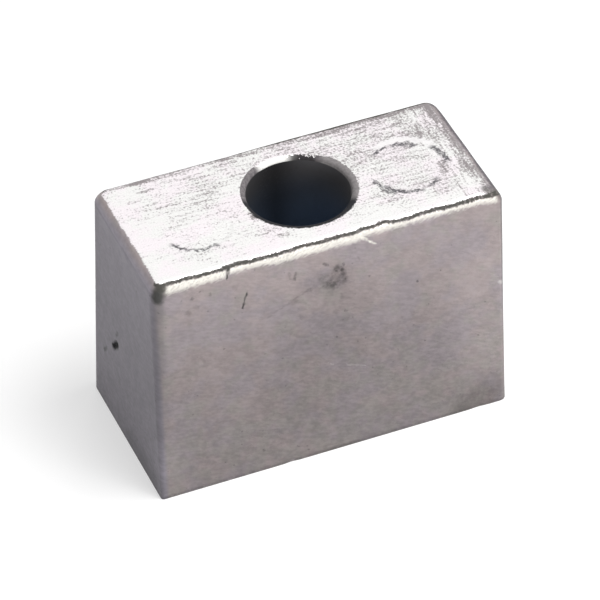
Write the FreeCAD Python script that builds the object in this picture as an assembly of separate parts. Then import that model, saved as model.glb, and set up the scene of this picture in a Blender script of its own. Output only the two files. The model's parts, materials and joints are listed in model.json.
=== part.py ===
import FreeCAD, Part
import math
import os

# A cast block anode: a short heavy block of zinc alloy with one bolt bore down its middle.
# It came out of its mould in one piece, so it is one solid: the walls lean in towards the top,
# the edges that were cut into the mould are round, and the edges at the parting face are sharp.
# All sizes are in millimetres. X runs along the block, Y across it and Z up the bore. The origin
# is the middle of the parting face, which the block stands on.

# Block, measured at the parting face and up to the flat of the top
BASE_LENGTH = 46.0
BASE_WIDTH = 23.5
HEIGHT = 32.0

# Draft of the mould, in degrees from upright
END_DRAFT = 0.9
SIDE_DRAFT = 2.7

# Rounding of the cast edges. One upright edge was cut with a finer tool at its foot.
UPRIGHT_RADIUS = 1.5
FINE_FOOT_RADIUS = 0.4
TOP_RADIUS = 1.3

# The core and the ejector pins of the mould sat this far to the right of its cavity
CORE_SHIFT = 0.25

# Bolt bore, open at both ends, with a rounded lip at the top and a small break at the foot
BORE_DIAMETER = 12.7
LIP_WIDTH = 0.7
LIP_DEPTH = 0.65
FOOT_BREAK = 0.3

# Marks that the two round ejector pins left in the top, one on each side of the bore
PIN_DIAMETER = 9.0
PIN_SPACING = 27.4
PIN_FORWARD = 1.35
PIN_MARK_DEPTH = 0.12
SLANTED_MARK_DEPTH = 0.14
SLANTED_MARK_TILT = 1.6

# Spare length of a cutting tool beyond the face that it starts from
OVERRUN = 2.0


def drafted_block():
    """Wedge whose four walls lean in by their draft, from the parting face to the top."""
    half_length = BASE_LENGTH / 2.0
    half_width = BASE_WIDTH / 2.0
    top_half_length = half_length - HEIGHT * math.tan(math.radians(END_DRAFT))
    top_half_width = half_width - HEIGHT * math.tan(math.radians(SIDE_DRAFT))
    # The wedge is made with its taper along Y and is then tipped up
    block = Part.makeWedge(
        -half_length, 0.0, -half_width, -top_half_width, -top_half_length,
        half_length, HEIGHT, half_width, top_half_width, top_half_length)
    block.rotate(FreeCAD.Vector(0, 0, 0), FreeCAD.Vector(1, 0, 0), 90.0)
    return block


def spans_height(edge):
    """True for an edge that climbs from the parting face to the top."""
    return edge.BoundBox.ZLength > HEIGHT / 2.0


def lies_on_top(edge):
    """True for an edge of the flat top face."""
    return edge.BoundBox.ZMin > HEIGHT - TOP_RADIUS / 10.0


def is_front_left(edge):
    """True for an edge on the side of the front left corner."""
    return edge.CenterOfMass.x < 0 and edge.CenterOfMass.y < 0


def round_edges(block):
    """Round the upright edges first and then, in one run, the edges round the top."""
    plain = [edge for edge in block.Edges if spans_height(edge) and not is_front_left(edge)]
    block = block.makeFillet(UPRIGHT_RADIUS, plain)
    fine = [edge for edge in block.Edges if spans_height(edge) and is_front_left(edge)]
    radii = [FINE_FOOT_RADIUS, UPRIGHT_RADIUS]
    if fine[0].valueAt(fine[0].FirstParameter).z > HEIGHT / 2.0:
        radii.reverse()
    block = block.makeFillet(radii[0], radii[1], fine)
    return block.makeFillet(TOP_RADIUS, [edge for edge in block.Edges if lies_on_top(edge)])


def bore_tool():
    """Turned form of the bore: a straight wall that widens in a round lip at the top."""
    radius = BORE_DIAMETER / 2.0
    mouth = radius + LIP_WIDTH
    foot = radius + FOOT_BREAK
    lip_start = HEIGHT - LIP_DEPTH
    below = -OVERRUN
    above = HEIGHT + OVERRUN
    lip_middle_x = mouth - LIP_WIDTH * math.cos(math.pi / 4.0)
    lip_middle_z = lip_start + LIP_DEPTH * math.sin(math.pi / 4.0)
    lip = Part.Arc(
        FreeCAD.Vector(radius, 0.0, lip_start),
        FreeCAD.Vector(lip_middle_x, 0.0, lip_middle_z),
        FreeCAD.Vector(mouth, 0.0, HEIGHT))
    straights = Part.makePolygon([
        FreeCAD.Vector(mouth, 0.0, HEIGHT),
        FreeCAD.Vector(mouth, 0.0, above),
        FreeCAD.Vector(0.0, 0.0, above),
        FreeCAD.Vector(0.0, 0.0, below),
        FreeCAD.Vector(foot, 0.0, below),
        FreeCAD.Vector(foot, 0.0, 0.0),
        FreeCAD.Vector(radius, 0.0, FOOT_BREAK),
        FreeCAD.Vector(radius, 0.0, lip_start)])
    outline = straights.Edges + [lip.toShape()]
    face = Part.Face(Part.Wire(Part.__sortEdges__(outline)))
    tool = face.revolve(FreeCAD.Vector(0, 0, 0), FreeCAD.Vector(0, 0, 1), 360.0)
    tool.translate(FreeCAD.Vector(CORE_SHIFT, 0.0, 0.0))
    return tool


def pin_mark(x):
    """Shallow round recess with a level floor."""
    place = FreeCAD.Vector(x, -PIN_FORWARD, HEIGHT - PIN_MARK_DEPTH)
    return Part.makeCylinder(PIN_DIAMETER / 2.0, PIN_MARK_DEPTH + OVERRUN, place)


def slanted_pin_mark(x):
    """Round recess of a pin that stood askew: deep at the front, and out of the metal behind."""
    radius = PIN_DIAMETER / 2.0
    place = FreeCAD.Vector(x, -PIN_FORWARD - radius, HEIGHT - SLANTED_MARK_DEPTH)
    mark = Part.makeCylinder(radius, SLANTED_MARK_DEPTH + OVERRUN, place + FreeCAD.Vector(0, radius, 0))
    mark.rotate(place, FreeCAD.Vector(1, 0, 0), SLANTED_MARK_TILT)
    return mark


def anode_block():
    """The whole casting."""
    block = round_edges(drafted_block())
    block = block.cut(bore_tool())
    block = block.cut(pin_mark(CORE_SHIFT + PIN_SPACING / 2.0))
    block = block.cut(slanted_pin_mark(CORE_SHIFT - PIN_SPACING / 2.0))
    return block.Solids[0]


os.makedirs("parts", exist_ok=True)
anode = anode_block()
anode.exportStep("parts/anode_block.step")
print("volume in cubic millimetres", round(anode.Volume, 1))
print("valid", anode.isValid(), "solids", len(anode.Solids), "faces", len(anode.Faces))
print("box", anode.optimalBoundingBox())
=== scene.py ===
import json
import math
import bmesh
import bpy
import numpy as np
from mathutils import Matrix, Vector


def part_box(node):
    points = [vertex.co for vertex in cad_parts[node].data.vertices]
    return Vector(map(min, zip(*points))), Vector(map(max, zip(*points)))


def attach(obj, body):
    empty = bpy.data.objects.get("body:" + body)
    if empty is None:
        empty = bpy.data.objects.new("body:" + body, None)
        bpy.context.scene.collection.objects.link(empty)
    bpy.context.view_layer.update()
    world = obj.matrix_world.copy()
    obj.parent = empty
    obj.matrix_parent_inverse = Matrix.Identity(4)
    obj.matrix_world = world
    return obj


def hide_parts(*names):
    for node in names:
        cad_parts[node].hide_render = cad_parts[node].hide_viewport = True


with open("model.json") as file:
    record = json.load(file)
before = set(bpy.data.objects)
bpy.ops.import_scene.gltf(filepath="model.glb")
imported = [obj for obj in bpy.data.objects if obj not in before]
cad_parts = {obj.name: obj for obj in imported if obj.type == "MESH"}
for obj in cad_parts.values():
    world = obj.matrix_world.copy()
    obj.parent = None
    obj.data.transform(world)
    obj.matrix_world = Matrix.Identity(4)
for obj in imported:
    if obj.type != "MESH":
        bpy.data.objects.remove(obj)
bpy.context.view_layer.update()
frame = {"record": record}


# The casting. The whole anode is one pour of zinc alloy in a two-part mould: its walls lean in
# by the mould's draft, its cast edges are round, and a core left the bolt bore down its middle.
# The walls keep the dull skin of the mould, and the top has been dressed flat and bright.

# Sizes are in millimetres, and the mesh is turned into metres at the end
low, high = (1000.0 * np.array(corner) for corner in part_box("anode_block"))
bore_mount = next(m for m in frame["record"]["mounts"] if m["name"] == "bolt_bore")
half_length, half_width = (high - low)[:2] / 2.0
height = high[2]
bore_x = 1000.0 * bore_mount["pos_m"][0]
bore_radius = bore_mount["dims"]["r_mm"]
end_draft = math.radians(0.9)
side_draft = math.radians(2.7)
top_radius = 1.3
foot_radius = 0.05
lip_width = 0.7
lip_depth = 0.65
bore_foot_break = 0.3

# Radius of each upright edge at the foot and just under the top, anticlockwise from the front left
edge_foot = np.array([0.4, 1.0, 1.5, 1.4])
edge_top = np.array([1.5, 0.7, 1.7, 1.9])

# Ejector pin marks: the right pin left a level floor, and the left one stood askew
pin_radius = 4.5
pin_from_bore = 13.7
pin_y = -1.35
pin_centres = np.array([[bore_x - pin_from_bore, pin_y], [bore_x + pin_from_bore, pin_y]])
level_depth = 0.06
slant_depth = 0.14
slant_tilt = math.radians(1.6)
pin_wall = 0.45

# The net's counts: points along each run of the outline and along each seam, rows up the outer
# walls and rounds and down the bore, and rows in from a loop to the circles inside it
outer_points, middle_points, end_points, corner_points, seam_points = 48, 64, 64, 12, 64
foot_round_rows, wall_rows, top_round_rows, lip_rows, bore_rows = 5, 80, 19, 11, 28
top_rows, pin_foot_rows, bore_foot_rows = 16, 5, 8

# Two seams cross the block, each midway between a pin mark and the mouth of the bore
left_seam = (pin_centres[0, 0] + pin_radius + bore_x - bore_radius - lip_width) / 2.0
right_seam = (pin_centres[1, 0] - pin_radius + bore_x + bore_radius + lip_width) / 2.0


def along(start, stop, count):
    """Even steps from start towards stop, without stop itself, one column for each step."""
    return start + (stop - start) * np.arange(count) / count


def outline(length, width, radii):
    """Rounded rectangle, anticlockwise from the front left: straight sides at plus or minus the
    half length and half width, joined by quarter circles, one row of points for each level."""
    length, width = length[:, None], width[:, None]
    front_left, front_right, back_right, back_left = (radii[:, i:i + 1] for i in range(4))
    still = np.zeros((1, outer_points * 2 + middle_points))
    idle = np.zeros((1, end_points))
    turn = along(0.0, math.pi / 2.0, corner_points)[None]
    parts = [
        (np.hstack([along(front_left - length, left_seam, outer_points),
                    along(left_seam, right_seam, middle_points) + 0.0 * length,
                    along(right_seam, length - front_right, outer_points)]),
         still - width),
        (length - front_right + front_right * np.sin(turn),
         front_right - width - front_right * np.cos(turn)),
        (idle + length, along(front_right - width, width - back_right, end_points)),
        (length - back_right + back_right * np.cos(turn),
         width - back_right + back_right * np.sin(turn)),
        (np.hstack([along(length - back_right, right_seam, outer_points),
                    along(right_seam, left_seam, middle_points) + 0.0 * length,
                    along(left_seam, back_left - length, outer_points)]),
         still + width),
        (back_left - length - back_left * np.sin(turn),
         width - back_left + back_left * np.cos(turn)),
        (idle - length, along(width - back_left, front_left - width, end_points)),
        (front_left - length - front_left * np.cos(turn),
         front_left - width - front_left * np.sin(turn)),
    ]
    return np.stack([np.hstack([x for x, y in parts]), np.hstack([y for x, y in parts])], -1)


def outer_shell():
    """Profile carried round the outline: a small round at the foot, the leaning wall, and a
    quarter round onto the top whose ball touches both the wall and the top. Also gives each
    row's share of the turn from the flat of the top to upright."""
    foot_turn = np.linspace(-math.pi / 2.0, 0.0, foot_round_rows)
    foot_z = foot_radius * (1.0 + np.sin(foot_turn))
    foot_inset = foot_radius * (1.0 - np.cos(foot_turn))
    wall_top = height - top_radius * (1.0 - math.sin(side_draft))
    wall_z = np.linspace(foot_radius, wall_top, wall_rows)[1:]
    top_turn = side_draft + (math.pi / 2.0 - side_draft) * np.linspace(0.0, 1.0, top_round_rows)[1:]
    ball_z = height - top_radius
    ball_length = half_length - ball_z * math.tan(end_draft) - top_radius / math.cos(end_draft)
    ball_width = half_width - ball_z * math.tan(side_draft) - top_radius / math.cos(side_draft)
    z = np.concatenate([foot_z, wall_z, ball_z + top_radius * np.sin(top_turn)])
    length = np.concatenate([
        half_length - foot_inset,
        half_length - wall_z * math.tan(end_draft),
        ball_length + top_radius * np.cos(top_turn)])
    width = np.concatenate([
        half_width - foot_inset,
        half_width - wall_z * math.tan(side_draft),
        ball_width + top_radius * np.cos(top_turn)])
    level = (z / height)[:, None]
    radii = edge_foot + (edge_top - edge_foot) * level
    inset = np.concatenate([foot_inset, 0.0 * wall_z, top_radius * (1.0 - np.cos(top_turn))])
    radii = np.maximum(radii - inset[:, None], foot_radius)
    plan = outline(length, width, radii)
    turned = np.concatenate([0.0 * foot_z + 1.0, 0.0 * wall_z + 1.0, 1.0 - 2.0 * top_turn / math.pi])
    net = np.concatenate([plan, np.broadcast_to(z[:, None, None], plan.shape[:2] + (1,))], -1)
    return net, np.broadcast_to(turned[:, None], plan.shape[:2])


def seam(start, stop):
    """Points on the straight line between two ends, without the ends."""
    share = np.linspace(0.0, 1.0, seam_points + 1)[1:-1, None]
    return start + (stop - start) * share


def zones(ring):
    """Cuts a closed outline into left, middle and right loops along the two seams."""
    side = outer_points * 2 + middle_points
    back = side + end_points + corner_points * 2
    front_cuts = (outer_points, outer_points + middle_points)
    back_cuts = (back + outer_points + middle_points, back + outer_points)
    count = len(ring)
    left = ring[np.arange(back_cuts[0], front_cuts[0] + count + 1) % count]
    right = ring[front_cuts[1]:back_cuts[1] + 1]
    front = ring[front_cuts[0]:front_cuts[1] + 1]
    rear = ring[back_cuts[1]:back_cuts[0] + 1]
    return (
        np.vstack([left, seam(left[-1], left[0])]),
        np.vstack([front, seam(front[-1], rear[0]), rear, seam(rear[-1], front[0])]),
        np.vstack([right, seam(right[-1], right[0])]))


def web(loop, centre, rows, radii):
    """Net from a loop in to circles: each spoke leaves the loop for the centre, in even steps
    down to the first radius and then at each radius in turn. Also gives the spokes' angles."""
    spoke = loop - centre
    angle = np.arctan2(spoke[:, 1], spoke[:, 0])
    unit = np.stack([np.cos(angle), np.sin(angle)], -1)
    first = centre + radii[0] * unit
    share = (np.arange(rows) / rows)[:, None, None]
    circles = centre + np.asarray(radii)[:, None, None] * unit
    return np.concatenate([loop + (first - loop) * share, circles]), angle


def smooth(low_edge, high_edge, value):
    """Share that eases from 0 at one edge to 1 at the other."""
    share = np.clip((value - low_edge) / (high_edge - low_edge), 0.0, 1.0)
    return share * share * (3.0 - 2.0 * share)


def top_level(plan):
    """Height of the dressed top: flat, less the two pin marks inside their walls."""
    left, right = (np.hypot(*np.moveaxis(plan - centre, -1, 0)) for centre in pin_centres)
    behind = plan[..., 1] - pin_y + pin_radius
    slant = np.clip(slant_depth - math.tan(slant_tilt) * behind, 0.0, None)
    inside_left = smooth(pin_radius, pin_radius - pin_wall, left)
    inside_right = smooth(pin_radius, pin_radius - pin_wall, right)
    return height - slant * inside_left - level_depth * inside_right


def raised(plan, z):
    """Plan points with their heights."""
    return np.concatenate([plan, np.broadcast_to(z, plan.shape[:2])[..., None]], -1)


# Circles round a pin mark, from just outside its wall, down the wall and in over its floor, and
# the few circles under it in the foot
pin_radii = pin_radius + np.concatenate([
    np.linspace(0.35, 0.05, 5), np.linspace(0.0, -pin_wall, 6),
    np.linspace(-0.06, -0.4, 4) - pin_wall])
pin_radii = np.concatenate([pin_radii, np.linspace(pin_radii[-1], 0.0, 12)[1:]])
foot_radii = [pin_radius, 2.0, 0.0]

# Each net comes with its share of the turn over the outer edge, and over the lip of the bore
bore_centre = np.array([bore_x, 0.0])
mouth = bore_radius + lip_width
shell, shell_turn = outer_shell()
nets = [(shell, shell_turn, 0.0)]
top_loops = zones(shell[-1, :, :2])
foot_loops = zones(shell[0, :, :2])
for loop, centre in zip((top_loops[0], top_loops[2]), pin_centres):
    plan = web(loop, centre, top_rows, pin_radii)[0]
    nets.append((raised(plan, top_level(plan)), 0.0, 0.0))
plan, mouth_angle = web(top_loops[1], bore_centre, top_rows, [mouth])
nets.append((raised(plan, top_level(plan)), 0.0, 0.0))
for loop, centre in zip((foot_loops[0], foot_loops[2]), pin_centres):
    plan = web(loop, centre, pin_foot_rows, foot_radii)[0]
    nets.append((raised(plan, 0.0), 1.0, 0.0))
plan, foot_angle = web(foot_loops[1], bore_centre, bore_foot_rows, [bore_radius + bore_foot_break])
nets.append((raised(plan, 0.0), 1.0, 0.0))

# The bore's wall, from the mouth down a quarter-round lip and the straight wall to the foot
lip_arc = np.linspace(0.0, math.pi / 2.0, lip_rows)
wall_z = np.linspace(height - lip_depth, bore_foot_break, bore_rows)[1:]
bore_r = np.concatenate([mouth - lip_width * np.sin(lip_arc), bore_radius + 0.0 * wall_z,
                         [bore_radius + bore_foot_break]])
bore_z = np.concatenate([height - lip_depth * (1.0 - np.cos(lip_arc)), wall_z, [0.0]])
bore_turn = np.concatenate([lip_arc / (math.pi / 2.0), 1.0 + 0.0 * wall_z, [0.0]])
share = ((height - bore_z) / height)[:, None]
swing = (foot_angle - mouth_angle + math.pi) % (2.0 * math.pi) - math.pi
angle = mouth_angle + swing * share
bore = np.stack([bore_x + bore_r[:, None] * np.cos(angle), bore_r[:, None] * np.sin(angle),
                 np.broadcast_to(bore_z[:, None], angle.shape)], -1)
nets.append((bore, 0.0, bore_turn[:, None]))

# One mesh from all the nets: each is a grid of four-sided faces that closes on itself
merge_gap = 0.0005
points, faces, edge_turns, lip_turns = [], [], [], []
for net, edge_share, lip_share in nets:
    rows, columns = net.shape[:2]
    index = sum(len(p) for p in points) + np.arange(rows * columns).reshape(rows, columns)
    beside = np.roll(index, -1, 1)
    quads = np.stack([index[:-1], beside[:-1], beside[1:], index[1:]], -1)
    points.append(net.reshape(-1, 3))
    faces.append(quads.reshape(-1, 4))
    edge_turns.append(np.broadcast_to(edge_share, (rows, columns)).ravel())
    lip_turns.append(np.broadcast_to(lip_share, (rows, columns)).ravel())
mesh = bpy.data.meshes.new("anode_casting")
mesh.from_pydata(np.concatenate(points), [], np.concatenate(faces).tolist())
for name, shares in (("edge_turn", edge_turns), ("lip_turn", lip_turns)):
    mesh.attributes.new(name, "FLOAT", "POINT").data.foreach_set("value", np.concatenate(shares))
work = bmesh.new()
work.from_mesh(mesh)
bmesh.ops.remove_doubles(work, verts=work.verts, dist=merge_gap)
bmesh.ops.recalc_face_normals(work, faces=work.faces)
work.to_mesh(mesh)
work.free()
mesh.shade_smooth()

# A casting isn't true: its walls sink by a few hundredths, its edges waver, and it has small pits
count = len(mesh.vertices)
spot, away, turn = np.zeros(count * 3), np.zeros(count * 3), np.zeros(count)
mesh.vertices.foreach_get("co", spot)
mesh.vertices.foreach_get("normal", away)
mesh.attributes["edge_turn"].data.foreach_get("value", turn)
spot, away = spot.reshape(-1, 3), away.reshape(-1, 3)


def waver(length, seed, waves=9):
    """Slow rise and fall over the casting, from -1 to 1: the mean of sine waves of one length
    that run in random directions."""
    chance = np.random.default_rng(seed)
    ways = chance.normal(size=(waves, 3))
    ways /= np.linalg.norm(ways, axis=1, keepdims=True)
    starts = chance.uniform(0.0, 2.0 * math.pi, waves)
    return np.sin(spot @ ways.T * (2.0 * math.pi / length) + starts).mean(1)


# Walls and edges sink by an even depth, and by a depth that comes and goes in waves. The face of
# the foot and the bore don't.
wall_sink, wall_waver, wall_wave = 0.005, 0.05, 17.0
edge_sink, edge_waver, edge_wave = 0.02, 0.06, 5.0
outside = spot[:, 2] > 0.5 * foot_radius
outside &= np.hypot(spot[:, 0] - bore_x, spot[:, 1]) > mouth + 0.01
on_wall = smooth(0.9, 1.0, turn) * smooth(0.0, 3.0, spot[:, 2]) * outside
on_edge = smooth(0.15, 0.6, turn) * smooth(1.0, 0.9, turn) * outside
sink = on_wall * (wall_sink + wall_waver * waver(wall_wave, seed=3))
sink = sink + on_edge * (edge_sink + edge_waver * waver(edge_wave, seed=4))

# The top edge at the back is worn rounder, most of all at its left
worn_most, worn_less = 0.15, 0.11
worn_back = smooth(7.6, 9.0, spot[:, 1]) * smooth(0.0, 0.4, turn) * smooth(1.0, 0.6, turn)
sink = sink + (worn_most - worn_less * smooth(-6.0, 2.0, spot[:, 0])) * worn_back * outside

# The top edge at the front was dressed deeper to the left of a step
step_start, step_end = -13.15, -13.4
step_foot, step_depth = 30.3, 0.05
dressed_step = smooth(step_start, step_end, spot[:, 0]) * (spot[:, 1] < 0.0)
sink = sink + step_depth * dressed_step * smooth(0.3, 0.6, turn) * smooth(0.0, 0.4, spot[:, 2] - step_foot)

# Pits and nicks: place on the casting, radius and depth
dents = [
    ((-22.8, 3.3, 12.7), 0.55, 0.25),
    ((-22.8, 2.6, 13.5), 0.45, 0.22),
    ((-22.8, 6.6, 9.6), 0.4, 0.1),
    ((-22.8, 2.2, 15.2), 0.35, 0.06),
    ((-13.25, -10.2, 31.3), 0.35, 0.14),
    ((4.6, -10.3, 30.7), 0.45, 0.12),
    ((21.85, -10.9, 18.6), 0.4, 0.12),
    ((-17.7, -10.4, 29.1), 0.3, 0.08),
    ((-11.1, -10.5, 26.6), 0.3, 0.05),
    ((19.0, -11.6, 0.6), 0.9, 0.10),
    ((-6.0, -11.7, 0.2), 0.7, 0.08),
    ((-19.0, 11.6, 0.3), 0.8, 0.12),
    ((22.8, -3.0, 11.0), 0.5, 0.12),
    ((7.0, 11.2, 19.0), 0.5, 0.12),
    ((-9.0, 11.0, 23.5), 0.4, 0.10)]
for centre, radius, depth in dents:
    gap = np.linalg.norm(spot - np.array(centre), axis=1)
    sink = sink + depth * np.exp(-(gap / radius) ** 2)
spot = spot - away * np.maximum(sink, 0.0)[:, None]
mesh.vertices.foreach_set("co", (spot / 1000.0).ravel())
mesh.update()
casting = bpy.data.objects.new("anode_casting", mesh)
bpy.context.scene.collection.objects.link(casting)

zinc = bpy.data.materials.new("cast_zinc")
zinc.use_nodes = True
tree = zinc.node_tree
shader = tree.nodes["Principled BSDF"]


def add(kind, inputs=None, output=0, **settings):
    """Adds a node with its settings, fills its inputs by name or number with numbers or with
    other nodes' outputs, and gives one of its outputs."""
    made = tree.nodes.new(kind)
    for name, value in settings.items():
        setattr(made, name, value)
    for name, value in (inputs or {}).items():
        if isinstance(value, bpy.types.NodeSocket):
            tree.links.new(value, made.inputs[name])
        else:
            made.inputs[name].default_value = value
    return made.outputs[output]


def sums(kind, first, second=0.0):
    """One step of arithmetic on one or two numbers."""
    return add("ShaderNodeMath", {0: first, 1: second}, operation=kind)


def plus(number, *others):
    """Sum of numbers."""
    for other in others:
        number = sums("ADD", number, other)
    return number


def times(number, *others):
    """Product of numbers."""
    for other in others:
        number = sums("MULTIPLY", number, other)
    return number


def larger(number, *others):
    """The largest of some numbers."""
    for other in others:
        number = sums("MAXIMUM", number, other)
    return number


def less(first, second):
    """The first number less the second."""
    return sums("SUBTRACT", first, second)


def without(share):
    """What a share leaves of the whole."""
    return sums("SUBTRACT", 1.0, share)


def ease(value, start, stop, low_end=0.0, high_end=1.0):
    """Number that eases from one end to the other as the value goes from start to stop."""
    return add("ShaderNodeMapRange", {"Value": value, "From Min": start, "From Max": stop,
                                      "To Min": low_end, "To Max": high_end},
               interpolation_type="SMOOTHSTEP")


def blend(share, first, second):
    """Colour that goes from the first to the second with the share."""
    return add("ShaderNodeMix", {0: share, 6: first, 7: second}, 2, data_type="RGBA")


def shade(share, colour):
    """Colour made darker or lighter by a number."""
    grey = add("ShaderNodeCombineColor", {0: share, 1: share, 2: share})
    return add("ShaderNodeMix", {0: 1.0, 6: colour, 7: grey}, 2, data_type="RGBA", blend_type="MULTIPLY")


def grain(where, scale, detail=2.0, roughness=0.5, turned=(0.0, 0.0, 0.0), stretched=(1.0, 1.0, 1.0)):
    """Cloudy pattern with so many clouds in a millimetre, turned and stretched first."""
    if turned != (0.0, 0.0, 0.0):
        where = add("ShaderNodeMapping", {"Vector": where, "Rotation": turned})
    if stretched != (1.0, 1.0, 1.0):
        where = add("ShaderNodeMapping", {"Vector": where, "Scale": stretched})
    return add("ShaderNodeTexNoise", {"Vector": where, "Scale": scale, "Detail": detail,
                                      "Roughness": roughness})


def stroke(where, start, stop, width):
    """Share that is 1 on a short line between two points and fades out to half its width."""
    start, stop = Vector(start), Vector(stop)
    run = stop - start
    away = add("ShaderNodeVectorMath", {0: where, 1: start}, operation="SUBTRACT")
    reach = add("ShaderNodeVectorMath", {0: away, 1: run / max(run.length_squared, 1e-6)}, "Value",
                operation="DOT_PRODUCT")
    reach = add("ShaderNodeClamp", {"Value": reach})
    nearest = add("ShaderNodeVectorMath", {0: run, "Scale": reach}, operation="SCALE")
    gap = add("ShaderNodeVectorMath", {0: away, 1: nearest}, "Value", operation="DISTANCE")
    return ease(gap, width / 2.0, width / 9.0)


# Place on the casting in millimetres, and the shares of the turn over the outer edge and the lip.
# The loose place is off by up to half the looseness each way, so that marks drawn on it get
# uneven edges.
to_millimetres = (1000.0, 1000.0, 1000.0)
looseness = 0.6
object_place = add("ShaderNodeTexCoord", output="Object")
place = add("ShaderNodeMapping", {"Vector": object_place, "Scale": to_millimetres})
split = add("ShaderNodeSeparateXYZ", {0: place})
x, y, z = split, split.node.outputs["Y"], split.node.outputs["Z"]
edge_turn = add("ShaderNodeAttribute", output="Fac", attribute_name="edge_turn")
lip_turn = add("ShaderNodeAttribute", output="Fac", attribute_name="lip_turn")
jitter = add("ShaderNodeTexNoise", {"Vector": place, "Scale": 1.6, "Detail": 2.0}, 1)
jitter = add("ShaderNodeVectorMath", {0: jitter, 1: (0.5, 0.5, 0.5)}, operation="SUBTRACT")
jitter = add("ShaderNodeVectorMath", {0: jitter, "Scale": looseness}, operation="SCALE")
loose_place = add("ShaderNodeVectorMath", {0: place, 1: jitter}, operation="ADD")

# Skin of the mould: pinkish, lavender and greenish grey clouds, and on the left end a bluer grey that is
# darker as painted shade
warm = (0.332, 0.283, 0.282, 1.0)
lavender = (0.308, 0.270, 0.284, 1.0)
olive = (0.302, 0.282, 0.264, 1.0)
shaded_end_grey = (0.243, 0.224, 0.258, 1.0)
left_end = ease(x, -21.8, -22.5)
green_cloud = less(grain(place, 0.35, 4.0, 0.6), ease(z, 3.0, 20.0, -0.02, 0.10))
skin = blend(ease(grain(place, 0.22, 4.0, 0.55), 0.40, 0.60), warm, lavender)
skin = blend(ease(green_cloud, 0.42, 0.58, 0.0, 0.6), skin, olive)
# Painted shade: the left end takes a darker grey
skin = blend(left_end, skin, shaded_end_grey)

# Tone of the skin: painted shade makes it darker towards the foot and lighter towards the top, with a
# mottle and fine slanting dashes
mottle = ease(grain(place, 0.6, 5.0, 0.68), 0.3, 0.7, -0.07, 0.07)
dashes = grain(place, 1.25, 1.5, 0.5, (0.0, math.radians(-18.0), 0.0), (0.9, 1.0, 2.1))
dashes = ease(dashes, 0.34, 0.66, -0.05, 0.05)
# Painted shade: the tone falls towards the foot and rises towards the top
tone = plus(ease(z, 0.0, 20.0, 0.662, 0.772), ease(z, 14.0, 34.0, 0.0, 0.26), mottle, dashes)

# Broad patches of the front wall: the two ends of each, its width, and how much lighter it is, or
# darker where that is below zero
patches = [
    ((-0.5, -11.0, 23.0), (-4.0, -11.5, 10.0), 17.0, -0.08),
    ((21.5, -11.0, 20.0), (21.5, -11.5, 10.0), 17.0, 0.19),
    ((-22.3, -11.5, 0.5), (-22.3, -11.3, 6.0), 8.0, 0.12),
    ((2.2, -10.8, 21.3), (0.4, -10.9, 20.3), 9.0, -0.06),
    ((5.0, -11.2, 13.2), (9.0, -11.2, 12.4), 9.0, -0.045),
    ((15.0, -10.7, 26.0), (16.0, -10.9, 19.0), 9.0, 0.04)]
for start, stop, width, lift in patches:
    tone = plus(tone, times(stroke(place, start, stop, width), lift))

# Painted light on the left end: lighter at its foot, and a little darker above, which evens out its light
# Painted light that evens the tone of the left end
end_painted_light = less(ease(z, 3.0, 20.0, 1.12, 0.97), 1.0)
tone = times(tone, plus(times(left_end, end_painted_light), 1.0))


def darkened(tone, marks, broken):
    """Tone with dark strokes in it: each has two ends, a width and a share of dark, and is broken
    up by a grain."""
    for start, stop, width, dark in marks:
        mark = times(stroke(loose_place, start, stop, width), broken, dark)
        tone = times(tone, without(mark))
    return tone
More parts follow.
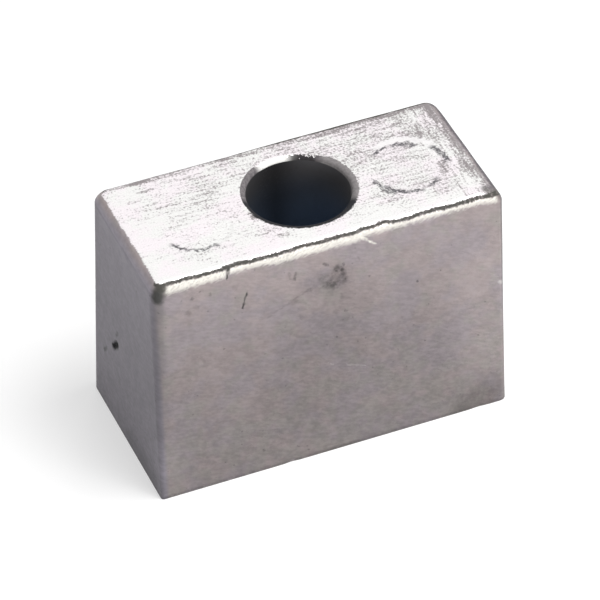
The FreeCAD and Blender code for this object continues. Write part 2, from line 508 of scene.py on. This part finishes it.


# Scratches and pits: on the front wall, the left end, the right end and the back, and a painted shadow
# along the foot of the left end. Their dark is crumbly.
crumbs = ease(grain(place, 4.0, 3.0, 0.7), 0.34, 0.60, 0.6, 1.2)
tone = darkened(tone, [
    ((-10.9, -10.4, 27.6), (-11.4, -10.5, 25.6), 0.4, 0.6),
    ((-10.8, -10.4, 27.7), (-10.9, -10.4, 27.4), 0.6, 0.5),
    ((-11.3, -10.5, 26.2), (-11.4, -10.5, 25.6), 0.5, 0.5),
    ((-17.7, -10.4, 29.1), (-17.6, -10.4, 29.0), 0.6, 0.4),
    ((-15.4, -10.4, 29.1), (-15.3, -10.4, 28.9), 0.5, 0.3),
    ((-18.4, -10.5, 27.3), (-18.1, -10.5, 27.1), 0.8, 0.2),
    ((-17.5, -10.5, 27.7), (-17.1, -10.5, 27.6), 0.7, 0.15),
    ((-12.4, -10.4, 29.0), (-12.1, -10.4, 28.9), 0.9, 0.16),
    ((-4.5, -10.4, 28.7), (-4.7, -10.5, 27.6), 0.5, 0.40),
    ((-5.4, -10.4, 28.9), (-5.1, -10.5, 27.9), 0.5, 0.18),
    ((-0.9, -10.4, 28.8), (-0.5, -10.4, 28.5), 0.6, 0.40),
    ((1.6, -10.4, 28.0), (1.7, -10.4, 27.8), 0.5, 0.40),
    ((-3.0, -10.5, 25.6), (-2.7, -10.5, 25.5), 0.9, 0.22),
    ((-5.1, -10.6, 24.5), (-4.7, -10.6, 24.6), 1.4, 0.16),
    ((3.4, -10.4, 28.5), (3.6, -10.4, 28.0), 0.5, 0.16),
    ((1.2, -10.7, 23.6), (1.3, -10.7, 23.0), 0.6, 0.18),
    ((4.8, -10.5, 25.2), (4.9, -10.5, 25.1), 0.5, 0.3),
    ((1.6, -10.8, 21.0), (1.9, -10.8, 20.8), 0.35, 0.3),
    ((-8.3, -10.7, 23.2), (-2.7, -10.6, 25.7), 0.40, 0.14),
    ((-4.1, -10.7, 22.0), (-4.0, -10.7, 21.7), 0.7, 0.15),
    ((11.1, -10.7, 22.4), (11.1, -10.7, 22.3), 0.5, 0.5),
    ((-9.6, -11.6, 3.2), (-9.5, -11.6, 3.0), 0.5, 0.4),
    ((-16.9, -10.8, 20.0), (-16.6, -10.8, 19.3), 0.6, 0.16),
    ((-0.8, -11.7, 0.3), (3.0, -11.7, 0.2), 0.9, 0.2),
    ((-22.8, 3.9, 12.1), (-22.8, 2.2, 13.8), 1.2, 0.96),
    ((-22.8, 7.1, 9.0), (-22.8, 6.3, 10.0), 0.9, 0.55),
    ((-22.8, 2.7, 14.7), (-22.8, 2.1, 15.6), 0.8, 0.5),
    ((-22.8, 3.4, 12.5), (-22.8, 2.5, 13.3), 1.6, 0.90),
    # Painted shadow: a broad dark stroke along the foot of the left end, towards the front
    ((-22.8, -9.0, 0.2), (-22.8, -2.0, 0.2), 9.0, 0.30),
    ((22.8, -3.0, 11.2), (22.8, -3.1, 10.8), 0.8, 0.8),
    ((7.1, 11.2, 19.0), (6.9, 11.2, 18.9), 0.8, 0.7),
    ((-9.0, 11.0, 23.6), (-8.8, 11.0, 23.3), 0.6, 0.7),
    ((-2.0, 10.8, 27.0), (4.0, 10.6, 25.0), 0.3, 0.2)], crumbs)

# Smudges on the front wall, in a group below the bore's mouth, and a darker patch at the foot towards the
# right. Their dark is in coarser grains.
grains = ease(grain(place, 1.5, 4.0, 0.7), 0.30, 0.62, 0.25, 1.0)
tone = darkened(tone, [
    ((0.7, -10.4, 27.6), (1.1, -10.5, 27.4), 1.5, 0.62),
    ((1.4, -10.5, 27.2), (1.6, -10.5, 26.6), 1.0, 0.45),
    ((0.5, -10.5, 27.0), (0.3, -10.5, 26.7), 1.2, 0.40),
    ((-0.1, -10.5, 25.5), (0.4, -10.5, 25.3), 1.9, 0.64),
    ((1.3, -10.5, 26.1), (1.5, -10.5, 25.6), 1.9, 0.42),
    ((-0.9, -10.5, 26.6), (-0.3, -10.5, 26.1), 2.2, 0.26),
    ((-1.8, -10.5, 26.4), (1.2, -10.5, 26.0), 5.5, 0.14),
    ((17.2, -11.6, 0.7), (20.0, -11.6, 1.7), 5.6, 0.30)], grains)

# Scattered dark specks, and grit along the foot
specks = ease(grain(place, 1.5, 1.0), 0.735, 0.80, 0.0, 0.35)
foot_grit = times(ease(z, 0.75, 0.15), ease(grain(place, 2.4, 3.0, 0.7), 0.36, 0.56, 0.05, 0.36))
tone = times(tone, without(specks), without(foot_grit))

# The left end is darker beside its back edge, and has painted light under the top and where it turns over
from_back = less(plus(y, times(z, math.tan(side_draft))), half_width)
far_left = times(left_end, ease(from_back, -3.6, -1.2), ease(z, 8.0, 18.0, 0.0, -0.14))
# Painted light: the round from the left end onto the top, and the band under the top, are lightened
left_round_painted_light = times(ease(edge_turn, 1.0, 0.93), ease(edge_turn, 0.35, 0.72))
left_round_painted_light = times(ease(x, -20.9, -21.4), ease(y, -9.8, -9.0), left_round_painted_light)
under_top_painted_light = times(left_end, ease(z, 28.0, 30.6, 0.0, 0.10))
tone = times(tone, plus(far_left, 1.0), plus(times(left_round_painted_light, 0.34), under_top_painted_light, 1.0))
skin = shade(tone, skin)

# Pale scratches and nicks of the front wall: the two ends of each, its width, and how pale it is
scratch_white = (0.75, 0.73, 0.71, 1.0)
pale_marks = [
    ((1.6, -11.1, 12.7), (4.0, -11.2, 11.7), 0.35, 0.10),
    ((-0.6, -11.1, 13.7), (-0.1, -11.1, 13.4), 0.35, 0.12),
    ((22.0, -10.8, 18.6), (22.35, -10.8, 18.35), 0.8, 0.40),
    ((-6.2, -11.0, 20.9), (-5.6, -11.0, 20.8), 0.3, 0.15)]
for start, stop, width, pale in pale_marks:
    skin = blend(times(stroke(loose_place, start, stop, width), pale), skin, scratch_white)

# The deepest pit, in the left end, is full of soot
pit_black = (0.010, 0.010, 0.011, 1.0)
sooty_pit = stroke(loose_place, (-22.8, 3.7, 12.3), (-22.8, 2.5, 13.5), 1.25)
skin = blend(sooty_pit, skin, pit_black)

# Dressed top: bright metal, yellowish and rosy in turn, with fine dark grain. The dressing ran
# along the block, and across it at the right.
halo_highlight_white = (0.90, 0.88, 0.88, 1.0)
yellowish = (0.89, 0.885, 0.87, 1.0)
rosy = (0.92, 0.865, 0.89, 1.0)
dark_grain = (0.31, 0.28, 0.285, 1.0)
metal_cloud = blend(ease(grain(place, 0.3, 3.0), 0.40, 0.60), yellowish, rosy)
fine = grain(place, 3.6, 3.0, 0.65)
brushed_along = grain(place, 1.3, 3.0, 0.6, stretched=(0.22, 2.6, 1.0))
brushed_across = grain(place, 1.3, 3.0, 0.6, stretched=(2.6, 0.22, 1.0))
across_share = ease(x, 15.5, 18.5)
brushed = plus(times(brushed_across, across_share), times(brushed_along, without(across_share)))

# The grain is thin at the left and along the front, and thick at the back and the right
fill = plus(ease(x, -20.0, -15.0, -0.038, 0.012), ease(x, -4.0, 20.0, 0.0, 0.045))
fill = plus(fill, plus(ease(y, -9.2, -6.5, -0.06, 0.0), ease(y, -1.0, 4.0, 0.0, 0.035)))
fill = plus(fill, ease(grain(place, 0.25, 2.0), 0.3, 0.7, -0.025, 0.025))
far_edges = larger(ease(x, 19.8, 21.2, 0.0, 0.9), ease(y, 8.2, 9.0))
fill = plus(fill, times(far_edges, ease(x, -4.0, 2.0, 0.08, 0.11)))

# Streaks of thicker grain in the top: the two ends of each, its width, and how much it adds
streaks = [
    ((-17.8, 8.9), (-15.8, 8.9), 0.9, 0.06),
    ((-17.8, 7.1), (-15.6, 7.1), 0.7, 0.08),
    ((-11.0, 7.0), (-8.5, 7.0), 0.7, 0.06),
    ((-16.5, 3.4), (-13.8, 3.3), 0.8, 0.07),
    ((-19.2, 5.8), (-18.7, 5.8), 0.8, 0.08),
    ((-6.7, -1.9), (-6.5, -2.9), 1.5, 0.15),
    ((-6.2, -5.4), (-4.4, -5.5), 0.9, 0.06),
    ((-5.0, -7.2), (-2.8, -7.9), 1.5, 0.06),
    ((4.0, 8.4), (9.0, 8.4), 0.7, 0.05),
    ((17.9, -3.6), (18.1, -2.4), 2.2, 0.09),
    ((20.0, -4.4), (20.2, -3.0), 1.9, 0.07)]
for start, stop, width, added in streaks:
    streak = stroke(loose_place, (*start, height), (*stop, height), width)
    fill = plus(fill, times(streak, added))
grit = plus(times(fine, 0.6), times(brushed, 0.4))
grit = ease(plus(grit, fill), 0.515, 0.70)
top_colour = blend(grit, metal_cloud, dark_grain)
top_colour = shade(ease(grain(place, 5.0, 2.0), 0.3, 0.7, 0.93, 1.03), top_colour)


def reach_from(centre):
    """Distance on the plan from a centre."""
    east, north = less(x, centre[0]), less(y, centre[1])
    return sums("SQRT", plus(times(east, east), times(north, north)))


def between(centre, first_degree, last_degree):
    """Share that is 1 between two angles round a centre on the plan, counted anticlockwise from
    the right, and that fades out over a fifth of a radian at each of them."""
    east, north = less(x, centre[0]), less(y, centre[1])
    half = math.radians(last_degree - first_degree) / 2.0
    middle = math.radians(first_degree) + half
    ahead = plus(times(east, math.cos(middle)), times(north, math.sin(middle)))
    aside = less(times(north, math.cos(middle)), times(east, math.sin(middle)))
    turned = sums("ABSOLUTE", sums("ARCTAN2", aside, ahead))
    return ease(turned, half + 0.08, half - 0.12)


def arc(centre, radius, first_degree, last_degree, width):
    """Share that is 1 on a stretch of a circle on the top, which wavers a little."""
    wander = ease(grain(place, 1.6, 3.0), 0.25, 0.75, -0.28, 0.28)
    off = sums("ABSOLUTE", plus(less(reach_from(centre), radius), wander))
    return times(ease(off, width / 2.0, width / 6.0), between(centre, first_degree, last_degree))


# A pale halo behind the right pin mark is a painted highlight of its step, and the dark arcs in the walls
# of both marks are painted shade with grime, where the dressing did not reach. Each dark arc has its pin,
# its distance out from the mark's wall, its first and last angle, and its width.
left_pin, right_pin = pin_centres
pin_shade_grime = (0.10, 0.095, 0.105, 1.0)
pin_halo_highlight = times(arc(right_pin, pin_radius + 0.85, 30.0, 118.0, 1.5), 0.85)
# Painted highlight: the halo is coloured bright
top_colour = blend(pin_halo_highlight, top_colour, halo_highlight_white)
shade_and_grime_arcs = [
    (right_pin, 0.0, 52.0, 94.0, 1.0),
    (right_pin, 0.2, 100.0, 128.0, 0.7),
    (right_pin, 0.4, -12.0, 33.0, 1.0),
    (right_pin, 0.25, 184.0, 212.0, 0.65),
    (right_pin, 0.1, 208.0, 272.0, 0.95),
    (right_pin, 0.7, 205.0, 232.0, 0.5),
    (right_pin, -0.2, -80.0, -54.0, 0.7),
    (right_pin, -0.4, -60.0, -50.0, 1.0),
    (left_pin, 0.0, 205.0, 234.0, 0.90),
    (left_pin, -0.05, 228.0, 274.0, 0.70),
    (left_pin, -0.25, 262.0, 286.0, 0.85)]
pin_shade_and_grime = 0.0
for centre, offset, first_degree, last_degree, width in shade_and_grime_arcs:
    pin_shade_and_grime = larger(pin_shade_and_grime, arc(centre, pin_radius + offset, first_degree, last_degree, width))
pin_shade_and_grime = times(pin_shade_and_grime, ease(grain(place, 2.8, 3.0, 0.7), 0.36, 0.54, 0.38, 1.0))
# Painted shade with grime: dark arcs in the walls of the pin marks
top_colour = blend(times(pin_shade_and_grime, 0.95), top_colour, pin_shade_grime)

# The dressing ran out over the edge of the flat, to a ragged end at a share of the edge's turn.
# It went further along the front, but for one bulge of old skin, and less far at the back and
# the right.
plain_end, back_short, right_short, bulge_short = 0.22, 0.09, 0.17, 0.08
ragged = grain(place, 1.9, 3.0, 0.7, stretched=(1.6, 1.6, 0.3))
tear = plus(ease(ragged, 0.25, 0.75, -0.055, 0.055), ease(grain(place, 0.4, 1.0), 0.3, 0.7, -0.045, 0.045))
front = ease(y, -8.7, -9.3)
back_side = times(ease(y, 8.2, 8.8), ease(x, -21.6, -20.4))
right_side = times(ease(x, 20.9, 21.3), ease(y, -9.6, -8.8))
bulge = times(front, ease(x, 3.4, 4.8), ease(x, 8.4, 7.0))
dressed_end = plus(times(front, ease(x, -8.0, 18.0, 0.035, 0.07)), times(back_side, -back_short))
dressed_end = plus(dressed_end, times(right_side, -right_short), plain_end)
dressed_end = less(dressed_end, times(bulge, bulge_short))
past_dressed = less(plus(edge_turn, tear), dressed_end)

# Past that end the old skin starts in a dark rim, on all sides but the left: painted shade at the back and
# the right, and at the front a painted dark reflection with some grime. The rim is wider at the front
# right corner.
rim_front, rim_back, rim_right, rim_corner = 0.235, 0.5, 0.65, 0.12
corner_drop = times(front, ease(x, 19.3, 21.8))
rim_share = larger(times(front, rim_front), times(back_side, rim_back), times(right_side, rim_right))
rim_share = plus(rim_share, times(corner_drop, rim_corner))
# Painted shade and a painted dark reflection along the edge of the top
shaded_rim_and_marks = ease(less(past_dressed, rim_share), 0.05, -0.08)
shaded_rim_and_marks = times(shaded_rim_and_marks, ease(grain(place, 3.0, 2.0, 0.7), 0.34, 0.50, 0.62, 1.0))
shaded_rim_and_marks = times(shaded_rim_and_marks, without(times(right_side, ease(past_dressed, 0.34, 0.0))))

# Dark marks that join the rim: a dark patch on the corner at the front right and painted shade down its
# edge, the notch at the step, and a blot at the front left corner
dark_corner_patch = stroke(loose_place, (21.1, -9.0, 31.9), (21.7, -9.3, 31.6), 2.9)
# Painted shade down the edge of the front right corner
corner_edge_shade = larger(times(stroke(place, (22.4, -8.6, 31.25), (22.45, -9.8, 30.6), 1.1), 0.7),
                     times(stroke(place, (22.45, -9.8, 30.6), (22.5, -9.9, 28.5), 0.6), 0.45))
notch = larger(stroke(loose_place, (-12.75, -9.7, 31.9), (-13.05, -10.15, 31.3), 0.7),
               stroke(loose_place, (-13.15, -10.2, 31.3), (-13.1, -10.4, 30.4), 0.4))
blot = stroke(loose_place, (-21.3, -9.7, 31.65), (-21.9, -10.1, 30.2), 2.3)
shaded_rim_and_marks = larger(shaded_rim_and_marks, times(dark_corner_patch, 0.8), corner_edge_shade, notch, blot)
rim_shade_black = (0.056, 0.056, 0.049, 1.0)
right_rim_shade_black = (0.096, 0.089, 0.097, 1.0)
# The rim is coloured dark as painted shade, and at the front as a painted dark reflection with some grime
skin = blend(times(shaded_rim_and_marks, 0.94), skin, blend(right_side, rim_shade_black, right_rim_shade_black))

# Under the rim the front edge has a painted highlight: a band of bright bare metal in slanting fibres. It
# is wide as far as the step at the left and again beside a flake, and ends at both corners.
highlight_bare_metal = (0.80, 0.775, 0.715, 1.0)
band_level, wide_drop, corner_drop_depth = 31.10, 0.38, 0.45
fibres = grain(place, 2.6, 3.0, 0.65, (0.0, math.radians(25.0), 0.0), (0.7, 1.0, 2.2))
wide = larger(ease(x, step_start, step_end), times(ease(x, -9.0, -7.0), ease(x, 5.5, 3.0)))
band_foot = plus(less(band_level, times(wide, wide_drop)), ease(fibres, 0.3, 0.7, -0.24, 0.24))
band_foot = less(band_foot, times(corner_drop, corner_drop_depth))
highlight_band = less(past_dressed, times(corner_drop, rim_corner))
highlight_band = times(ease(highlight_band, 0.18, 0.30), ease(less(z, band_foot), -0.26, 0.40))
highlight_band = times(highlight_band, ease(fibres, 0.38, 0.56, 0.62, 1.0))
flake = larger(stroke(loose_place, (3.8, -10.25, 31.4), (4.7, -10.4, 30.6), 0.85),
               stroke(loose_place, (4.6, -10.35, 30.7), (5.7, -10.4, 29.8), 0.5))
flake = times(flake, ease(grain(place, 3.4, 2.0, 0.7), 0.36, 0.5, 0.35, 1.0))
highlight_band = times(larger(highlight_band, flake), front, times(ease(x, -21.4, -20.7), ease(x, 21.95, 21.4)))
highlight_band = times(highlight_band, without(larger(notch, blot)))
# Painted highlight: the band along the front edge is coloured bright
skin = blend(highlight_band, skin, highlight_bare_metal)

# Painted shade, with some grime, darkens the upright edge at the front left, most of all under the top.
# Painted shade also darkens the right end towards the top, which shows from the front as a thin line down
# its edge.
upright_shade_dark = (0.10, 0.10, 0.105, 1.0)
from_left = plus(less(x, times(z, math.tan(end_draft))), half_length)
from_front = plus(less(y, times(z, math.tan(side_draft))), half_width)
from_corner = plus(times(from_left, 0.8), times(from_front, 1.5))
left_edge_shade = plus(ease(z, 2.0, 22.0, 0.03, 0.26), ease(z, 25.0, 29.0, 0.0, 0.18))
left_edge_shade = times(ease(from_corner, 1.5, 0.7), left_edge_shade)
from_right = less(plus(x, times(z, math.tan(end_draft))), half_length)
right_end_shade = times(ease(from_right, -0.55, -0.22), ease(z, 6.0, 22.0, 0.12, 0.70))
# Painted shade on the upright edge at the front left and on the right end
skin = blend(larger(left_edge_shade, right_end_shade), skin, upright_shade_dark)

# The dressed metal shows as far as its ragged end over the outer edge and, inside, as far as the
# lip's skin, which begins a little outside the mouth at the right and the front, and later in
# the turn of the lip at the back
dressed = ease(past_dressed, plus(times(right_side, 0.16), 0.03), -0.07)
dressed = times(dressed, without(times(dark_corner_patch, 0.85)))
lip_tear = times(lip_turn, ease(ragged, 0.25, 0.75, 0.3, 2.6))
from_axis = plus(reach_from(bore_centre), ease(ragged, 0.25, 0.75, -0.12, 0.12))
over_right = times(ease(from_axis, mouth + 0.28, mouth + 0.12), between(bore_centre, -64.0, 40.0))
over_front = times(ease(from_axis, mouth + 0.22, mouth + 0.06), between(bore_centre, -165.0, -25.0))
over_mouth = times(larger(over_right, over_front), ease(z, 29.0, 30.0))
lip_late = times(between(bore_centre, 48.0, 118.0), 0.28)
lip = larger(ease(less(lip_tear, lip_late), 0.02, 0.10), over_mouth)
dressed = times(dressed, without(lip))
colour = blend(dressed, skin, top_colour)

# Lip of the bore: a bright painted highlight at the back, soot beside it and all round the front, and old
# grey skin at the left and the right, with a painted glint along the middle at the right
lip_grey = (0.19, 0.175, 0.18, 1.0)
lip_dark = (0.115, 0.105, 0.11, 1.0)
lip_highlight_white = (0.84, 0.825, 0.80, 1.0)
back_soot = (0.025, 0.022, 0.023, 1.0)
front_soot = (0.025, 0.025, 0.028, 1.0)
painted_glint_grey = (0.45, 0.43, 0.42, 1.0)
lip_highlight_span = between(bore_centre, 70.0, 116.0)
lip_soot = between(bore_centre, 47.0, 79.0)
lip_right = between(bore_centre, -38.0, 44.0)
lip_front = between(bore_centre, -188.0, -34.0)
lip_highlight_part = times(lip_highlight_span, ease(lip_tear, 0.22, 0.42))
glint = times(ease(lip_turn, 0.68, 0.78), ease(lip_turn, 0.92, 0.84))
lip_colour = blend(ease(grain(place, 2.5, 3.0, 0.6), 0.35, 0.65), lip_grey, lip_dark)
# Painted highlight on the back of the lip
lip_colour = blend(lip_highlight_part, lip_colour, lip_highlight_white)
lip_colour = blend(times(lip_soot, 0.85), lip_colour, back_soot)
lip_colour = blend(lip_front, lip_colour, front_soot)
# Painted glint along the right of the lip
lip_colour = blend(times(lip_right, plus(times(glint, 0.30), 0.24)), lip_colour, painted_glint_grey)
colour = blend(lip, colour, lip_colour)

# The bore is coloured near black as painted shade on the sooty skin of its core, black near the mouth and
# bluer further down. It is painted lighter further down, at the right and a little at the left, which
# evens out its light.
mouth_soot_and_shade = (0.040, 0.039, 0.041, 1.0)
deep_soot_and_shade = (0.056, 0.080, 0.125, 1.0)
bore_soot_and_shade = blend(ease(z, 30.5, 22.0), mouth_soot_and_shade, deep_soot_and_shade)
# Painted light: the bore is lighter at the right and a little at the left
bore_soot_and_shade = shade(plus(ease(x, -0.5, 6.8, 0.45, 3.6), ease(x, 0.0, -5.5, 0.0, 0.5)), bore_soot_and_shade)
soot_start = plus(times(lip_highlight_span, 0.10), 0.80)
# Painted shade: the bore is coloured near black
colour = blend(ease(lip_turn, soot_start, 0.995), colour, bore_soot_and_shade)
tree.links.new(colour, shader.inputs["Base Color"])

# Bare metal and the painted highlight band are shiny, the skin is dull, and soot, grime and the painted
# shade of the rim are duller still
dull_soot_grime_and_shade = larger(shaded_rim_and_marks, times(lip, without(lip_highlight_part)))
dull_soot_grime_and_shade = larger(times(dull_soot_grime_and_shade, without(dressed)), sooty_pit)
bare_and_highlight_share = larger(dressed, times(highlight_band, 0.6))
rough = plus(ease(bare_and_highlight_share, 0.0, 1.0, 0.52, 0.36), times(dull_soot_grime_and_shade, 0.3))
tree.links.new(rough, shader.inputs["Roughness"])
metal = times(ease(bare_and_highlight_share, 0.0, 1.0, 0.35, 0.9), without(dull_soot_grime_and_shade))
tree.links.new(metal, shader.inputs["Metallic"])
tree.links.new(ease(dull_soot_grime_and_shade, 0.0, 1.0, 0.5, 0.12), shader.inputs["Specular IOR Level"])

# Fine flow wrinkles in the skin of the walls, in patches, and fainter towards the top, at the
# left and on the left end. Their height is in metres.
wrinkle_height = 0.00004
wrinkles = grain(loose_place, 0.95, 2.0, 0.5, (0.0, math.radians(-26.0), 0.0), (0.8, 1.0, 1.9))
patchy = times(ease(grain(place, 0.28, 2.0), 0.38, 0.62, 0.4, 1.0), ease(z, 30.0, 16.0, 0.55, 1.0))
patchy = times(patchy, ease(x, -14.0, 4.0, 0.8, 1.0), ease(left_end, 0.0, 1.0, 1.0, 0.25))
wrinkles = times(ease(wrinkles, 0.36, 0.70), patchy, without(larger(dressed, lip)))
relief = add("ShaderNodeBump", {"Height": wrinkles, "Distance": wrinkle_height}, output="Normal")
tree.links.new(relief, shader.inputs["Normal"])
mesh.materials.append(zinc)

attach(casting, "root")
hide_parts("anode_block")


# The floor. It is a plain pale sheet that the block stands on, and it runs out past every view.
# It shows white to the camera and in reflections, and keeps the block's soft shadow.
floor_reach = 3.0
floor_grey = (0.5, 0.5, 0.5, 1.0)
floor_glow = 0.54
floor_corners = [(-1, -1), (1, -1), (1, 1), (-1, 1)]
floor_points = [(across * floor_reach, back * floor_reach, 0.0) for across, back in floor_corners]
floor_mesh = bpy.data.meshes.new("floor")
floor_mesh.from_pydata(floor_points, [], [(0, 1, 2, 3)])
floor = bpy.data.objects.new("floor", floor_mesh)
bpy.context.scene.collection.objects.link(floor)
floor_paint = bpy.data.materials.new("pale_floor")
floor_paint.use_nodes = True
tree = floor_paint.node_tree
tree.nodes.clear()


def seen_share():
    """Share that is 1 where the camera sees a surface, also by reflection or through glass."""
    seen = add("ShaderNodeLightPath", output="Is Camera Ray")
    rays = seen.node.outputs
    return larger(seen, rays["Is Glossy Ray"], rays["Is Transmission Ray"])


matt = add("ShaderNodeBsdfDiffuse", {"Color": floor_grey})
glow = add("ShaderNodeEmission", {"Strength": times(seen_share(), floor_glow)})
both = add("ShaderNodeAddShader", {0: matt, 1: glow})
out = tree.nodes.new("ShaderNodeOutputMaterial")
tree.links.new(both, out.inputs["Surface"])
floor_mesh.materials.append(floor_paint)


# The studio light: a pale room all round, a large soft lamp overhead, and two low panels, at the
# front and the back, that lift the shade. The room shows white and lights the block gently.
room_light, room_white = 0.3, 1.0
world = bpy.data.worlds.new("studio")
bpy.context.scene.world = world
world.use_nodes = True
tree = world.node_tree
room = tree.nodes["Background"]
room.inputs["Color"].default_value = (1.0, 1.0, 1.0, 1.0)
tree.links.new(ease(seen_share(), 0.0, 1.0, room_light, room_white), room.inputs["Strength"])


def soft_panel(name, place, target, wide, tall, power):
    """Soft light panel at a place, turned to face a target, with its long side level."""
    data = bpy.data.lights.new(name, "AREA")
    data.shape = "RECTANGLE"
    data.size = wide
    data.size_y = tall
    data.energy = power
    lamp = bpy.data.objects.new(name, data)
    bpy.context.scene.collection.objects.link(lamp)
    lamp.location = place
    lamp.rotation_mode = "QUATERNION"
    lamp.rotation_quaternion = (Vector(place) - Vector(target)).to_track_quat("Z", "Y")
    return lamp


soft_panel("key", (0.16, -0.10, 0.46), (0.0, 0.0, 0.015), 0.25, 0.25, 2.0)
front_panel = soft_panel("front", (0.16, -0.46, 0.14), (0.0, 0.0, 0.02), 0.40, 0.22, 1.65)
back_panel = soft_panel("back", (0.10, 0.46, 0.20), (0.0, 0.0, 0.02), 0.40, 0.30, 0.8)

# The low panels cast no reflections, so that the flat top keeps its grain in every view
for panel in (front_panel, back_panel):
    panel.visible_glossy = False


# The camera. It has the photograph's own view: a long lens that looks down from the front left,
# turned a little about its own line of sight.
view_azimuth = math.radians(-22.3)
view_elevation = math.radians(40.57)
view_roll = math.radians(-0.87)
view_distance = 0.5344
view_lens = 258.0
view_shift_right = 0.00005
view_shift_up = 0.0112
back_axis = Vector((math.sin(view_azimuth) * math.cos(view_elevation),
                    -math.cos(view_azimuth) * math.cos(view_elevation),
                    math.sin(view_elevation)))
level_right = Vector((math.cos(view_azimuth), math.sin(view_azimuth), 0.0))
level_up = back_axis.cross(level_right)
right_axis = level_right * math.cos(view_roll) + level_up * math.sin(view_roll)
up_axis = level_up * math.cos(view_roll) - level_right * math.sin(view_roll)
camera_data = bpy.data.cameras.new("camera")
camera_data.lens = view_lens
camera_data.sensor_width = 36.0
camera_data.sensor_fit = "HORIZONTAL"
camera_data.clip_start = 0.01
camera_data.clip_end = 20.0
camera = bpy.data.objects.new("camera", camera_data)
bpy.context.scene.collection.objects.link(camera)
camera_place = back_axis * view_distance + right_axis * view_shift_right + up_axis * view_shift_up
axes = Matrix((right_axis, up_axis, back_axis)).transposed()
camera.matrix_world = Matrix.Translation(camera_place) @ axes.to_4x4()
bpy.context.scene.camera = camera
bpy.context.scene.view_settings.view_transform = "Standard"
